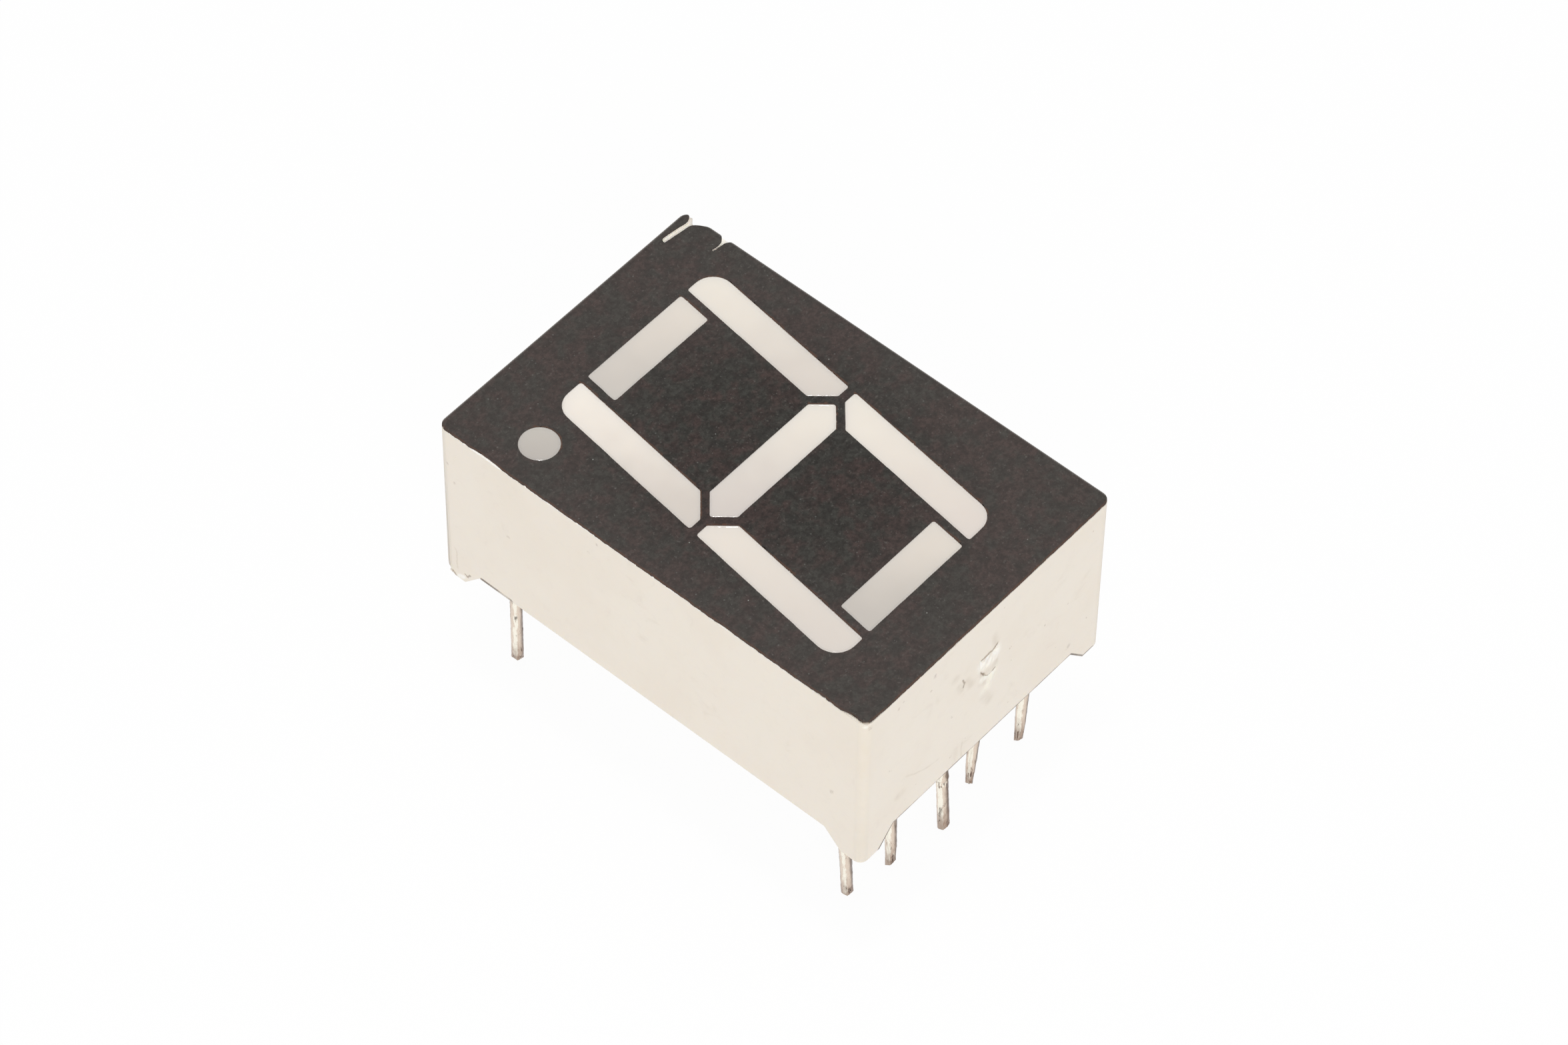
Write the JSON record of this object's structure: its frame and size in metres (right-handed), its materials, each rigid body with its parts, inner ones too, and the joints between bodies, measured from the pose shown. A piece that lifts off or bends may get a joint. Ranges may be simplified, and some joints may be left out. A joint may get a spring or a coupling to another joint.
{
  "type": "seven segment display",
  "caption": "Slanted numeral display with a decimal point: white moulded body, black printed face, milky light wells and round through-hole leads.",
  "frame": {"origin": "middle of the lead pattern, on the plane where the four corner feet stand on a circuit board", "axes": "+X across the digit to its right, +Y up the digit, +Z out of the face; the leads point along -Z"},
  "size_m": [0.0126, 0.019, 0.0138],
  "materials": {
    "white_plastic": "fine satin moulded surface, warm white",
    "black_print": "matt, finely grained ink",
    "milky_resin": "satin, milky and slightly translucent",
    "board": "glass-fibre laminate",
    "copper": "bare copper foil",
    "sealing_resin": "cast resin, smooth",
    "die": "sawn crystal",
    "gold": "drawn gold wire",
    "tinned_wire": "tinned, lightly scratched",
    "solder": "solder, satin"
  },
  "bodies": {
    "root": {"housing": "white_plastic", "face_print": "black_print", "circuit_board": "board", "tracks": "copper", "sealing_resin": "sealing_resin", "segment_a": "milky_resin", "segment_b": "milky_resin", "segment_c": "milky_resin", "segment_d": "milky_resin", "segment_e": "milky_resin", "segment_f": "milky_resin", "segment_g": "milky_resin", "decimal_point": "milky_resin", "led_die_a": "die", "led_die_b": "die", "led_die_c": "die", "led_die_d": "die", "led_die_e": "die", "led_die_f": "die", "led_die_g": "die", "led_die_dp": "die", "bond_wire_a": "gold", "bond_wire_b": "gold", "bond_wire_c": "gold", "bond_wire_d": "gold", "bond_wire_e": "gold", "bond_wire_f": "gold", "bond_wire_g": "gold", "bond_wire_dp": "gold", "lead_1": "tinned_wire", "lead_2": "tinned_wire", "lead_3": "tinned_wire", "lead_4": "tinned_wire", "lead_5": "tinned_wire", "lead_6": "tinned_wire", "lead_7": "tinned_wire", "lead_8": "tinned_wire", "lead_9": "tinned_wire", "lead_10": "tinned_wire", "solder_1": "solder", "solder_2": "solder", "solder_3": "solder", "solder_4": "solder", "solder_5": "solder", "solder_6": "solder", "solder_7": "solder", "solder_8": "solder", "solder_9": "solder", "solder_10": "solder"}
  },
  "joints": []
}
